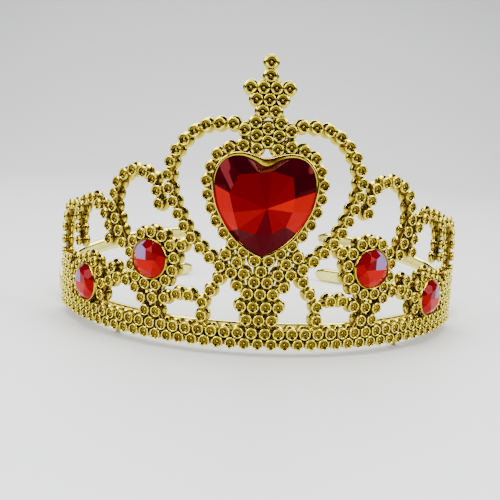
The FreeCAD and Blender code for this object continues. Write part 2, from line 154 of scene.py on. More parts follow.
def along(points, count):
    """Bead centres evenly spaced along a smooth line through the points."""
    line = curve(points)
    lengths = [0.0]
    for a, b in zip(line, line[1:]):
        lengths.append(lengths[-1] + math.dist(a, b))
    beads = []
    step = 0
    for i in range(count):
        target = lengths[-1] * i / (count - 1)
        while step < len(line) - 2 and lengths[step + 1] < target:
            step += 1
        share = (target - lengths[step]) / (lengths[step + 1] - lengths[step])
        beads.append(tuple(a + (b - a) * share for a, b in zip(line[step], line[step + 1])))
    return beads


def round_ring(centre, kept):
    """Bead centres round a medallion, counted both ways from its top bead."""
    beads = []
    for k in range(-kept, kept + 1):
        a = math.radians(90 + k * 360 / MEDALLION_COUNT)
        beads.append((centre[0] + MEDALLION_RADIUS * math.cos(a),
                      centre[1] + MEDALLION_RADIUS * math.sin(a)))
    return beads


def row(z, first, last, stagger=0.0):
    """Bead centres of a level row from index first to last."""
    return [((i + stagger) * ROW_PITCH, z) for i in range(first, last + 1)]


def both(beads):
    """The beads given for +s, and their mirror images, with those on the middle kept once."""
    return beads + [(-s, z) for s, z in beads if abs(s) > 0.01]


def across(z, width, count):
    """Level row of beads centred on the middle line."""
    return [((i - (count - 1) / 2) * width, z) for i in range(count)]


def middle_groups():
    half = (ROW_COUNT - 1) // 2
    groups = {
        "bead_row_lower": row(ROW_Z, -half, half),
        "bead_row_upper": row(ROW_Z + ROW_RISE, -half, half - 1, 0.5),
    }
    stem = across(9.8, 3.3, 3) + across(13.2, 3.25, 4) + across(16.6, 3.25, 3)
    stem += across(19.65, 3.3, 2) + [(0.0, 22.5)]
    fan = [(6.0, 18.5), (4.35, 21.7), (7.6, 21.7), (6.25, 24.5), (9.2, 26.3)]
    groups["centre_stem"] = stem + both(fan)
    side = [(1.8, 25.2), (7.6, 29.4), (12.0, 34.7), (14.4, 41.0), (14.9, 44.5),
            (12.6, 50.8), (9.3, 52.9), (5.9, 53.7), (2.6, 53.0)]
    groups["heart_surround"] = both(along(side, 13))
    neck = [(0.0, 54.9), (2.75, 56.3), (0.0, 58.0), (5.75, 57.5), (3.1, 59.4)]
    finial = across(62.1, 3.2, 2) + across(64.9, 3.2, 3) + across(67.7, 3.2, 4)
    finial += [(0.0, 70.6), (0.0, 73.8)]
    groups["top_cross"] = both(neck) + finial
    return groups


def side_groups():
    """Beadwork of the +X side."""
    groups = {}
    painted_highlight = [(8.7, 58.8), (15.7, 58.1), (21.4, 54.3), (25.0, 48.5), (25.2, 42.1),
             (20.8, 32.9), (16.3, 27.6), (10.7, 23.2)]
    leg = [(10.9, 19.9), (12.9, 16.7), (15.0, 13.5), (15.1, 9.9)]
    groups["big_arch"] = along(painted_highlight, 16) + leg + [(21.1, 27.6)]
    groups["low_scroll"] = [(18.7, 14.8), (22.0, 14.8), (25.5, 13.4), (29.1, 13.0), (32.8, 12.5),
                            (34.9, 15.0), (38.0, 16.4), (41.4, 16.7), (44.6, 15.2),
                            (43.5, 19.2), (28.0, 9.5), (31.5, 9.4)]
    groups["mid_medallion"] = round_ring(MID_MEDALLION, (MEDALLION_COUNT - 1) // 2)
    groups["outer_medallion"] = round_ring(OUTER_MEDALLION, OUTER_KEPT)
    hook = [(39.7, 26.4), (42.5, 33.0), (43.6, 36.0), (42.0, 42.4), (36.2, 46.0),
            (29.8, 43.7), (28.0, 37.7)]
    groups["mid_scroll"] = along(hook, 12)
    link = [(45.0, 26.8), (45.3, 30.4), (47.5, 33.8), (54.0, 37.2), (59.6, 33.8),
            (61.6, 30.4), (60.8, 24.0)]
    groups["link_scroll"] = along(link, 10)
    hook = [(62.9, 34.2), (69.4, 33.0), (75.0, 26.0), (75.8, 18.4)]
    end = row(ROW_Z + 2 * ROW_RISE, 19, 22) + row(ROW_Z + 3 * ROW_RISE, 18, 21, 0.5)
    end += row(ROW_Z + 4 * ROW_RISE, 19, 22) + row(ROW_Z + 5 * ROW_RISE, 19, 20, 0.5)
    groups["outer_scroll"] = along(hook, 7) + end
    return groups


# ---- node groups ----------------------------------------------------------------------------
def new_group(name, inputs, outputs):
    """Node group with its input and output nodes; inputs are (name, kind, value)."""
    group = bpy.data.node_groups.new(name, "ShaderNodeTree")
    for socket, kind, value in inputs:
        made = group.interface.new_socket(socket, in_out="INPUT", socket_type=kind)
        made.default_value = value
    for socket, kind in outputs:
        group.interface.new_socket(socket, in_out="OUTPUT", socket_type=kind)
    return group, group.nodes.new("NodeGroupInput"), group.nodes.new("NodeGroupOutput")


def noise(tree, scale, detail=2.0):
    """Noise laid over the piece in its own coordinates; scale is a number or a socket."""
    place = tree.nodes.new("ShaderNodeTexCoord")
    made = tree.nodes.new("ShaderNodeTexNoise")
    made.inputs["Detail"].default_value = detail
    tree.links.new(place.outputs["Object"], made.inputs["Vector"])
    if isinstance(scale, (int, float)):
        made.inputs["Scale"].default_value = scale
    else:
        tree.links.new(scale, made.inputs["Scale"])
    return made.outputs["Fac"]


def mixed(tree, share, first, second):
    """Colour between two colours; each of them is a socket or a plain colour."""
    made = tree.nodes.new("ShaderNodeMix")
    made.data_type = "RGBA"
    tree.links.new(share, made.inputs["Factor"])
    for socket, value in ((made.inputs[6], first), (made.inputs[7], second)):
        if isinstance(value, tuple):
            socket.default_value = value
        else:
            tree.links.new(value, socket)
    return made.outputs[2]


def moulded_skin():
    """Soft ripple and uneven polish of moulded plastic."""
    group, given, out = new_group(
        "moulded_skin",
        [("Ripple Scale", "NodeSocketFloat", 300.0), ("Ripple", "NodeSocketFloat", 0.1),
         ("Polish Low", "NodeSocketFloat", 0.1), ("Polish High", "NodeSocketFloat", 0.3)],
        [("Roughness", "NodeSocketFloat"), ("Normal", "NodeSocketVector")])
    polish = group.nodes.new("ShaderNodeMapRange")
    group.links.new(noise(group, given.outputs["Ripple Scale"], 3.0), polish.inputs["Value"])
    polish.inputs["From Min"].default_value = 0.3
    polish.inputs["From Max"].default_value = 0.7
    group.links.new(given.outputs["Polish Low"], polish.inputs["To Min"])
    group.links.new(given.outputs["Polish High"], polish.inputs["To Max"])
    bump = group.nodes.new("ShaderNodeBump")
    bump.inputs["Distance"].default_value = 0.0001
    group.links.new(given.outputs["Ripple"], bump.inputs["Strength"])
    group.links.new(noise(group, given.outputs["Ripple Scale"]), bump.inputs["Height"])
    group.links.new(polish.outputs["Result"], out.inputs["Roughness"])
    group.links.new(bump.outputs["Normal"], out.inputs["Normal"])
    return group


def gilt_colour():
    """Gilding that drifts between two golds, with a painted highlight on its crests and painted
    shade, dark brown, in its recesses.
    """
    group, given, out = new_group(
        "gilt_colour",
        [("Gold", "NodeSocketColor", (0.8, 0.6, 0.1, 1)), ("Pale", "NodeSocketColor", (1, 1, 1, 1)),
         ("Bright", "NodeSocketColor", (1, 1, 1, 1)), ("PaintedHighlight", "NodeSocketFloat", 0.0),
         ("Stain", "NodeSocketColor", (0.1, 0.05, 0.01, 1)), ("PaintedShade", "NodeSocketFloat", 0.0)],
        [("Color", "NodeSocketColor")])
    drift = mixed(group, noise(group, 60.0), given.outputs["Gold"], given.outputs["Pale"])
    painted_highlight = mixed(group, given.outputs["PaintedHighlight"], drift, given.outputs["Bright"])
    group.links.new(mixed(group, given.outputs["PaintedShade"], painted_highlight, given.outputs["Stain"]),
                    out.inputs["Color"])
    return group


SKIN = moulded_skin()
GILT = gilt_colour()


# ---- materials ------------------------------------------------------------------------------
def new_material(name):
    material = bpy.data.materials.new(name)
    material.use_nodes = True
    return material, material.node_tree, material.node_tree.nodes["Principled BSDF"]


def use_group(tree, group, **values):
    made = tree.nodes.new("ShaderNodeGroup")
    made.node_tree = group
    for name, value in values.items():
        made.inputs[name.replace("_", " ")].default_value = value
    return made


def attribute(tree, name):
    made = tree.nodes.new("ShaderNodeAttribute")
    made.attribute_name = name
    return made.outputs["Fac"]


# dark brown painted shade, mixed into the gold in the beads' dishes, waists and webs
PAINTED_SHADE_COLOUR = (0.060, 0.022, 0.001, 1)


def gilding(name, gold, pale, highlight, ripple, polish):
    """Vacuum-metallised gold under a clear lacquer."""
    material, tree, shader = new_material(name)
    skin = use_group(tree, SKIN, Ripple_Scale=420.0, Ripple=ripple,
                     Polish_Low=polish[0], Polish_High=polish[1])
    colour = use_group(tree, GILT, Gold=gold, Pale=pale, Bright=highlight, Stain=PAINTED_SHADE_COLOUR)
    # painted shade in recesses, read from a mesh attribute
    tree.links.new(attribute(tree, "painted_shade"), colour.inputs["PaintedShade"])
    # painted highlight on crests, read from a mesh attribute
    tree.links.new(attribute(tree, "painted_highlight"), colour.inputs["PaintedHighlight"])
    tree.links.new(colour.outputs["Color"], shader.inputs["Base Color"])
    tree.links.new(skin.outputs["Roughness"], shader.inputs["Roughness"])
    tree.links.new(skin.outputs["Normal"], shader.inputs["Normal"])
    shader.inputs["Metallic"].default_value = 1.0
    shader.inputs["Coat Weight"].default_value = 0.08
    shader.inputs["Coat Roughness"].default_value = 0.05
    return material


def red_acrylic(name, facet_light_tones):
    """Foil-backed red stone; each facet's tone is painted light: dark shade, red glints and a pale
    lilac reflection.
    """
    material, tree, shader = new_material(name)
    ramp = tree.nodes.new("ShaderNodeValToRGB")
    while len(ramp.color_ramp.elements) < len(facet_light_tones):
        ramp.color_ramp.elements.new(0.5)
    for element, (place, colour) in zip(ramp.color_ramp.elements, facet_light_tones):
        element.position = place
        element.color = colour
    # the tone attribute holds each facet's painted light and shade
    tree.links.new(attribute(tree, "tone"), ramp.inputs["Fac"])
    cloud = mixed(tree, noise(tree, 180.0), ramp.outputs["Color"], (0.10, 0.0, 0.004, 1))
    depth = tree.nodes.new("ShaderNodeMix")
    depth.data_type = "RGBA"
    depth.inputs["Factor"].default_value = 0.25
    tree.links.new(ramp.outputs["Color"], depth.inputs[6])
    tree.links.new(cloud, depth.inputs[7])
    tree.links.new(depth.outputs[2], shader.inputs["Base Color"])
    skin = use_group(tree, SKIN, Ripple_Scale=150.0, Ripple=0.03, Polish_Low=0.03, Polish_High=0.08)
    tree.links.new(skin.outputs["Roughness"], shader.inputs["Roughness"])
    tree.links.new(skin.outputs["Normal"], shader.inputs["Normal"])
    shader.inputs["IOR"].default_value = 1.49
    shader.inputs["Specular IOR Level"].default_value = 0.22
    shader.inputs["Specular Tint"].default_value = (1.0, 0.10, 0.12, 1)
    return material


# each gold: its colour, a paler gold, and the painted highlight colour for crests
BEADWORK_GOLD = gilding("beadwork_gold", (0.50, 0.36, 0.010, 1), (0.62, 0.50, 0.030, 1),
                        (0.82, 0.70, 0.07, 1), 0.2, (0.08, 0.18))
SMOOTH_GOLD = gilding("smooth_gold", (0.62, 0.55, 0.10, 1), (0.76, 0.71, 0.22, 1),
                      (0.92, 0.90, 0.50, 1), 0.12, (0.12, 0.24))
# the stone's own red from near black to bright, varied per facet as painted shade and glints, ending
# in a pale lilac painted reflection
RED_FACET_LIGHT_TONES = ((0.0, (0.004, 0.0, 0.001, 1)), (0.3, (0.045, 0.0, 0.002, 1)),
             (0.6, (0.15, 0.0, 0.001, 1)), (0.85, (0.34, 0.0, 0.0, 1)),
             (0.95, (0.42, 0.003, 0.0, 1)), (1.0, (0.26, 0.17, 0.34, 1)))
HEART_RED = red_acrylic("heart_red", RED_FACET_LIGHT_TONES)
ROUND_RED = red_acrylic("round_red", RED_FACET_LIGHT_TONES)


# ---- making pieces --------------------------------------------------------------------------
def make_piece(name, points, faces, material, nodes, masks=(), sharp=None, body="tiara"):
    """Mesh object from points in millimetres, standing for its CAD nodes."""
    mesh = bpy.data.meshes.new(name)
    mesh.from_pydata([tuple(p) for p in np.asarray(points) * MM], [], faces)
    mesh.validate()
    for mask, values in masks:
        layer = mesh.attributes.new(mask, "FLOAT", "FACE" if len(values) == len(faces) else "POINT")
        layer.data.foreach_set("value", np.asarray(values, np.float32))
    mesh.shade_smooth()
    if sharp is not None:
        mesh.set_sharp_from_angle(angle=math.radians(sharp))
    mesh.materials.append(material)
    piece = bpy.data.objects.new(name, mesh)
    bpy.context.scene.collection.objects.link(piece)
    if body is not None:
        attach(piece, body)
    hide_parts(*nodes)
    return piece


def ring_faces(rings, size, start=0):
    """Quads between rings of points that follow each other."""
    faces = []
    for r in range(rings - 1):
        a, b = start + r * size, start + (r + 1) * size
        for i in range(size):
            j = (i + 1) % size
            faces.append((a + i, a + j, b + j, b + i))
    return faces


# ---- the beads ------------------------------------------------------------------------------
def bead_profile(flange):
    """(radius, depth behind the front ring, painted shade, painted highlight) from the pip in the
    dish to the back.
    """
    r, f = BEAD_DIA / 2, flange / 2
    return [(0.13, 0.44, 0.1, 0.6), (0.25, 0.53, 0.45, 0), (0.36, 0.68, 0.9, 0),
            (0.60, 0.72, 0.85, 0), (0.85, 0.70, 0.75, 0), (1.0, 0.62, 0.8, 0),
            (1.08, 0.42, 0.75, 0), (1.13, 0.16, 0.3, 0.4), (1.19, 0.03, 0, 1), (1.29, 0, 0, 1),
            (1.39, 0.02, 0, 1), (1.47, 0.10, 0, 0.8), (r, 0.26, 0, 0.2), (r, 0.58, 0.1, 0),
            (1.46, 0.76, 0.35, 0), (1.24, 0.92, 0.8, 0), (1.12, 1.15, 0.9, 0),
            (1.08, 1.55, 0.85, 0), (1.16, 1.90, 0.8, 0), (1.40, 2.06, 0.5, 0),
            (f - 0.22, 2.14, 0.1, 0.2), (f - 0.06, 2.24, 0, 0.7), (f, 2.42, 0, 0.3),
            (f, 2.95, 0.1, 0), (f - 0.07, 3.15, 0.1, 0), (f - 0.25, 3.28, 0.1, 0),
            (1.2, BEAD_DEPTH, 0.1, 0)]


def bead_shape(flange):
    """Points (across, up, depth), faces, painted shade and painted highlight values of one bead."""
    profile = bead_profile(flange)
    points, painted_shade, painted_highlight = [], [], []
    for radius, depth, shade_level, highlight in profile:
        for i in range(BEAD_SEGMENTS):
            a = 2 * math.pi * i / BEAD_SEGMENTS
            points.append((radius * math.cos(a), radius * math.sin(a), depth))
        painted_shade += [shade_level] * BEAD_SEGMENTS
        painted_highlight += [highlight] * BEAD_SEGMENTS
    faces = ring_faces(len(profile), BEAD_SEGMENTS)
    for depth, ring, flip in ((0.40, 0, True), (3.12, len(profile) - 1, False)):
        centre = len(points)
        points.append((0.0, 0.0, depth))
        painted_shade.append(0.1)
        painted_highlight.append(0.6 if flip else 0.0)
        for i in range(BEAD_SEGMENTS):
            a, b = ring * BEAD_SEGMENTS + i, ring * BEAD_SEGMENTS + (i + 1) % BEAD_SEGMENTS
            faces.append((centre, b, a) if flip else (centre, a, b))
    return np.array(points), faces, painted_shade, painted_highlight


def web(a, b):
    """Corner points of the bar between the waists of two beads."""
    depth, half = BEAD_DEPTH / 2, LINK_WIDTH / 2
    run = np.array((b[0] - a[0], b[1] - a[1])) / math.dist(a, b)
    corners = []
    for end, way in ((a, 1), (b, -1)):
        s, z = end[0] + way * LINK_BITE * run[0], end[1] + way * LINK_BITE * run[1]
        for side, deeper in ((1, -half), (1, half), (-1, half), (-1, -half)):
            corners.append(on_wall(s - side * half * run[1], z + side * half * run[0],
                                   WALL_RADIUS - depth - deeper))
    return corners


def beadwork(name, beads, taken, flange=FLANGE_DIA):
    """All the beads of one region as one piece, webbed to each other and to earlier beads."""
    shape, shape_faces, shape_painted_shade, shape_painted_highlight = bead_shape(flange)
    points, faces, painted_shade, painted_highlight = [], [], [], []
    for s, z in beads:
        tangent, up, out = wall_axes(s)
        turn = dice.uniform(0, 2 * math.pi)
        lean = dice.uniform(-0.02, 0.02)
        x = shape[:, 0] * math.cos(turn) - shape[:, 1] * math.sin(turn)
        y = shape[:, 0] * math.sin(turn) + shape[:, 1] * math.cos(turn)
        depth = shape[:, 2] + lean * x
        base = len(points)
        points.extend(on_wall(s, z) + np.outer(x, tangent) + np.outer(y, up) - np.outer(depth, out))
        faces.extend(tuple(base + i for i in face) for face in shape_faces)
        # each bead's painted shade is scaled a little at random
        shade_spread = dice.uniform(0.9, 1.05)
        painted_shade.extend(min(1.0, value * shade_spread) for value in shape_painted_shade)
        painted_highlight.extend(shape_painted_highlight)
    for i, a in enumerate(beads):
        for b in beads[i + 1:] + taken:
            if math.dist(a, b) < LINK_REACH:
                faces += ring_faces(2, 4, len(points))
                points += web(a, b)
                painted_shade += [LINK_PAINTED_SHADE] * 8
                painted_highlight += [0.0] * 8
    return make_piece(name + "_beads", points, faces, BEADWORK_GOLD, [name],
                      [("painted_shade", painted_shade), ("painted_highlight", painted_highlight)])


# ---- rim and nubs ---------------------------------------------------------------------------
def rounded_box(half_width, half_height, fillet, steps=4):
    """Outline of a box with rounded corners, counter-clockwise."""
    outline = []
    for corner in range(4):
        sx, sy = ((1, 1), (-1, 1), (-1, -1), (1, -1))[corner]
        for i in range(steps + 1):
            a = math.radians(90 * corner + 90 * i / steps)
            outline.append((sx * (half_width - fillet) + fillet * math.cos(a),
                            sy * (half_height - fillet) + fillet * math.sin(a)))
    return outline


def inner_rim():
    """Smooth rim behind the base rows, with rounded edges and closed ends."""
    outline = rounded_box(BAND_THICKNESS / 2, (BAND_HIGH - BAND_LOW) / 2, 0.5)
    middle, height = (BAND_OUTER + BAND_INNER) / 2, (BAND_HIGH + BAND_LOW) / 2
    steps = 160
    points = []
    for i in range(steps + 1):
        s = (2 * i / steps - 1) * BAND_END_ANGLE * WALL_RADIUS
        for across_wall, rise in outline:
            points.append(on_wall(s, height + rise, middle + across_wall))
    size = len(outline)
    faces = ring_faces(steps + 1, size)
    faces.append(tuple(range(size)))
    faces.append(tuple(reversed(range(steps * size, (steps + 1) * size))))
    return make_piece("inner_rim", points, faces, SMOOTH_GOLD, ["inner_band"],
                      [("painted_shade", [0.0] * len(points))], sharp=50)


def rim_nubs():
    """Two turned nubs under the rim, with a soft foot and a flared top."""
    profile = [(0.0, 0.0), (0.42, 0.0), (0.56, 0.06), (0.66, 0.25), (0.78, 0.8),
               (1.0, 1.45), (NUB_DIA / 2, BAND_LOW + 0.05), (0.0, BAND_LOW + 0.1)]
    segments = 24
    points, faces = [], []
    for sign in (-1, 1):
        s = sign * math.radians(NUB_ANGLE) * WALL_RADIUS
        foot = on_wall(s, 0, BAND_INNER + BAND_THICKNESS / 2)
        base = len(points)
        for radius, z in profile:
            radius = max(radius, 0.01)
            for i in range(segments):
                a = 2 * math.pi * i / segments
                points.append(foot + (radius * math.cos(a), radius * math.sin(a), z))
        faces += ring_faces(len(profile), segments, base)
    return make_piece("rim_nubs", points, faces, SMOOTH_GOLD, ["band_nubs"],
                      [("painted_shade", [0.0] * len(points))], sharp=60)


# ---- heart ----------------------------------------------------------------------------------
def both_halves(half, steps=6):
    """Closed outline from the cleft round by +X, through given points of its +X half."""
    right = curve(half, steps)
    return right + [(-x, z) for x, z in reversed(right[1:-1])]


def inset(outline, distance):
    """The same outline drawn in by a distance, square to itself."""
    drawn_in = []
    for (ax, az), (x, z), (bx, bz) in zip(outline[-1:] + outline, outline, outline[1:] + outline[:1]):
        before = np.array((z - az, ax - x)) / math.dist((ax, az), (x, z))
        after = np.array((bz - z, x - bx)) / math.dist((bx, bz), (x, z))
        mitre = before + after
        mitre *= distance * 2 / max(mitre.dot(mitre), 1.2)
        drawn_in.append((x + mitre[0], z + mitre[1]))
    return drawn_in


def heart_point(x, z, depth):
    """Point beside the heart's centre, at a depth behind the front rings of the beads."""
    return (x, WALL_FRONT_Y + depth, HEART_CENTRE_Z + z)


def heart_cup():
    """Thin wall round the heart stone, with a rounded rim, a gold ledge and a closed back."""
    half = [(0.0, 11.55), (1.3, 11.7), (3.2, 12.35), (6.2, 12.9), (9.0, 12.4), (11.1, 11.0),
            (12.6, 8.7), (13.3, 5.3), (12.6, 0.8), (11.3, -2.7), (8.1, -7.9), (4.2, -11.3),
            (0.0, -13.6)]
    outline = both_halves(half)
    front = -SETTING_PROUD
    rings = [(2.2, 0.15), (0.60, -0.05), (0.42, -0.25), (0.32, front + 0.05),
             (0.20, front - 0.06), (0.07, front + 0.02), (0.0, -0.30), (0.0, BEAD_DEPTH - 0.15),
             (0.15, BEAD_DEPTH)]
    points = []
    for distance, depth in rings:
        points += [heart_point(x, z, depth) for x, z in inset(outline, distance)]
    size = len(outline)
    faces = ring_faces(len(rings), size)
    for ring, flip in ((0, False), (len(rings) - 1, True)):
        centre = len(points)
        points.append(heart_point(0.0, 1.0, rings[ring][1]))
        for i in range(size):
            a, b = ring * size + i, ring * size + (i + 1) % size
            faces.append((centre, a, b) if not flip else (centre, b, a))
    # slight painted shade on the ledge's two inner rings
    painted_shade = [0.1] * (2 * size) + [0.0] * (len(points) - 2 * size)
    # painted highlight along the top of the rim
    painted_highlight = [1.0 if 3 * size <= i < 6 * size else 0.0 for i in range(len(points))]
    return make_piece("heart_cup", points, faces, BEADWORK_GOLD,
                      ["heart_setting"], [("painted_shade", painted_shade), ("painted_highlight", painted_highlight)], sharp=50)


def heart_gem():
    """Faceted heart: a table of wedges that meet in the middle, and long bevels round it."""
    half = [(0.0, 9.45), (1.3, 9.9), (3.5, 11.1), (6.6, 11.85), (9.6, 11.1), (11.6, 8.9),
            (12.5, 5.3), (11.9, 0.8), (10.7, -2.6), (7.6, -7.4), (3.9, -10.8), (0.0, -13.0)]
    girdle = both_halves(half)
    # each table corner with the tones, painted light and shade, of the wedge and of the bevel that
    # follow it
    table = [((1.4, 8.6), 0.45, 0.04), ((6.6, 7.3), 0.50, 0.05), ((7.3, 2.2), 0.92, 0.86),
             ((6.9, -1.2), 0.62, 0.90), ((5.4, -4.9), 0.60, 0.22), ((2.2, -6.6), 0.30, 0.18),
             ((-2.0, -7.1), 0.58, 0.24), ((-6.3, -5.9), 0.68, 0.93), ((-7.6, -1.8), 0.50, 0.88),
             ((-8.8, 2.9), 0.42, 0.12), ((-6.5, 7.5), 0.42, 0.03), ((-1.8, 8.0), 0.38, 0.10)]
    front, edge, back = -HEART_CROWN * 0.72, -0.15, BEAD_DEPTH - SETTING_FLOOR
    size = len(girdle)
    points = [heart_point(x, z, back) for x, z in girdle]
    points += [heart_point(x, z, edge) for x, z in girdle]
    faces = ring_faces(2, size)
    facet_light_tones = [0.2] * len(faces)
    rim = len(points)
    points += [heart_point(x, z, front) for (x, z), _, _ in table]
    centre = len(points)
    points.append(heart_point(0.6, -0.6, front - 0.12))

    def nearest(corner):
        """Girdle point that a table corner's ridge runs out to."""
        x, z = corner[0] * 1.55, corner[1] * 1.5 + 0.4
        reach = [(gx - x) ** 2 + (gz - z) ** 2 for gx, gz in girdle]
        return reach.index(min(reach))
    anchors = [nearest(corner) for corner, _, _ in table]
    for i, (_, wedge, bevel) in enumerate(table):
        j = (i + 1) % len(table)
        a, b = anchors[i], anchors[j]
        steps = (b - a) % size
        middle = steps // 2
        for k in range(steps):
            g, h = size + (a + k) % size, size + (a + k + 1) % size
            faces.append((rim + (i if k < middle else j), g, h))
            facet_light_tones.append(bevel)
        faces.append((rim + i, size + (a + middle) % size, rim + j))
        facet_light_tones.append(bevel)
        faces.append((centre, rim + i, rim + j))
        facet_light_tones.append(wedge)
    faces.append(tuple(reversed(range(size))))
    facet_light_tones.append(0.2)
    return make_piece("heart_gem", points, faces, HEART_RED, ["heart_stone"],
                      [("tone", facet_light_tones)], sharp=3)


# ---- round stones ---------------------------------------------------------------------------
def wall_point(centre, x, z, depth, mirror):
    """Point beside a medallion's centre, square to the wall there, on the +X or the -X side."""
    s = centre[0] * mirror
    tangent, up, out = wall_axes(s)
    return on_wall(s, centre[1]) + tangent * x + up * z - out * depth


def round_cup(side, place, centre, mirror):
    """Cup of a round stone: thin rolled rim and a closed back."""
    inner, outer = STONE_DIA / 2 + SETTING_GAP, STONE_DIA / 2 + SETTING_GAP + SETTING_WALL
    floor = BEAD_DEPTH - SETTING_FLOOR
    rings = [(0.02, floor), (inner, floor), (inner, -0.35), (inner + 0.08, -SETTING_PROUD + 0.03),
             (inner + 0.19, -SETTING_PROUD - 0.05), (outer - 0.07, -SETTING_PROUD + 0.02),
             (outer, -0.28), (outer, BEAD_DEPTH), (0.02, BEAD_DEPTH)]
    segments = 48
    points = []
    for radius, depth in rings:
        for i in range(segments):
            a = 2 * math.pi * i / segments
            points.append(wall_point(centre, radius * math.cos(a), radius * math.sin(a), depth,
                                     mirror))
    return make_piece(side + place + "_cup", points, ring_faces(len(rings), segments),
                      BEADWORK_GOLD, [side + place + "_setting"],
                      [("painted_shade", [0.0] * len(points))], sharp=50)


def round_gem(side, place, centre, mirror):
    """Brilliant-cut crown on a flat-backed round stone."""
    sides = 8
    girdle_radius = STONE_DIA / 2 - 0.03
    heights = {"back": BEAD_DEPTH - SETTING_FLOOR, "girdle": -0.25,
               "kite": -0.3 - STONE_CROWN * 0.62, "table": -0.45 - STONE_CROWN * 0.8}
    points, faces, facet_light_tones = [], [], []

    def ring(count, radius, depth, shift=0.0):
        start = len(points)
        for i in range(count):
            a = 2 * math.pi * (i + shift) / count
            points.append(wall_point(centre, radius * math.cos(a), radius * math.sin(a), depth,
                                     mirror))
        return start
    low = ring(4 * sides, girdle_radius, heights["back"])
    edge = ring(4 * sides, girdle_radius, heights["girdle"])
    kite = ring(sides, girdle_radius * 0.80, heights["kite"], 0.5)
    table = ring(sides, STONE_TABLE / 2, heights["table"])

    def facet(angle, corners, lift=0.0):
        """Add a facet and its tone of painted light: the low ones a painted bright red glint, those
        high on the inner side painted dark shade, and those high on the outer side a painted pale
        lilac reflection."""
        outward, height = mirror * math.cos(angle), math.sin(angle)
        tone = 0.80 - 0.10 * height + lift
        if height > 0.2:
            tone = 1.0 if outward > 0.1 else 0.55 + lift
        elif height < -0.8:
            tone = 0.90
        faces.append(corners)
        stray = dice.uniform(-0.05, 0.05)
        facet_light_tones.append(tone if tone == 1.0 else min(0.94, max(0.05, tone + stray)))
    for i in range(4 * sides):
        j = (i + 1) % (4 * sides)
        facet(0.0, (low + i, low + j, edge + j, edge + i), -0.5)
    middle = len(points)
    points.append(wall_point(centre, 0.0, 0.0, heights["table"] - 0.03, mirror))
    for i in range(sides):
        here, after = 2 * math.pi * i / sides, 2 * math.pi * (i + 0.5) / sides
        j = (i + 1) % sides
        before = (i - 1) % sides
        facet(after, (middle, table + i, table + j), 0.05)
        facet(after, (table + i, kite + i, table + j), 0.04)
        rim = [edge + (4 * i + k) % (4 * sides) for k in (-1, 0, 1)]
        facet(here, (table + i, kite + before, rim[0], rim[1], rim[2], kite + i), -0.06)
        facet(after, (kite + i, edge + 4 * i + 1, edge + 4 * i + 2), -0.15)
        facet(after, (kite + i, edge + 4 * i + 2, edge + (4 * i + 3) % (4 * sides)), -0.1)
    facet(0.0, tuple(low + i for i in reversed(range(4 * sides))), -0.5)
    return make_piece(side + place + "_gem", points, faces, ROUND_RED,
                      [side + place + "_stone"], [("tone", facet_light_tones)], sharp=3)


# ---- comb arms ------------------------------------------------------------------------------
def heading(angle):
    """Plan direction at an angle from +X."""
    return np.array((math.cos(angle), math.sin(angle)))


def arm_line(steps=70):
    """Plan points and headings along the middle of the +X arm, from the rim's end to the tip."""
    angle = BAND_END_ANGLE + ARM_GAP / BAND_OUTER
    root = on_wall(angle * WALL_RADIUS, 0, BAND_INNER + BAND_THICKNESS / 2)[:2]
    leave = angle - math.radians(ARM_FLARE)
    bend = math.radians(ARM_BEND_ANGLE)
    sweep = math.radians(TINE_SWEEP)
    lengths = (ARM_RUN, ARM_BEND_RADIUS * bend, TINE_RUN)
    places = [(root - heading(leave) * (ARM_GAP + 0.3), leave)]
    total = sum(lengths)
    here = root
    for i in range(steps):
        done = total * (i + 0.5) / steps
        if done < lengths[0]:
            turned = leave
        elif done < lengths[0] + lengths[1]:
            turned = leave + bend * (done - lengths[0]) / lengths[1]
        else:
            turned = leave + bend + sweep * (done - lengths[0] - lengths[1]) / lengths[2]
        places.append((here, turned))
        here = here + heading(turned) * (total / steps)
    places.append((here, leave + bend + sweep))
    return places


def strip(places, stations):
    """Strip of rounded section with a crease along each face, following plan places.

    Stations are (y, z of the middle, half height); the strip starts at the first of them.
    """
    half = ARM_THICKNESS / 2
    line = np.array(curve(stations))
    start, stop = stations[0][0], stations[-1][0]
    nose = stations[-1][2]
    section = []
    for i in range(ARM_SEGMENTS):
        a = 2 * math.pi * i / ARM_SEGMENTS
        c, d = math.cos(a), math.sin(a)
        side = math.copysign(abs(c) ** 0.45, c)
        rise = math.copysign(abs(d) ** 0.6, d)
        crease = CREASE_DEPTH * math.exp(-(rise / CREASE_WIDTH) ** 2)
        section.append((side * (1 - crease), rise))
    points = []
    rings = 0
    for (x, y), angle in places:
        if y < start - 1e-6:
            continue
        z = float(np.interp(y, line[:, 0], line[:, 1]))
        h = float(np.interp(y, line[:, 0], line[:, 2]))
        past = min(1.0, max(0.0, (y - stop) / nose))
        shrink = math.sqrt(max(0.0, 1 - past ** 2))
        side = heading(angle - math.pi / 2) * half * max(0.06, shrink ** 0.7)
        for u, v in section:
            points.append((x + side[0] * u, y + side[1] * u, z + v * h * max(0.03, shrink)))
        rings += 1
    return points, rings, len(section)


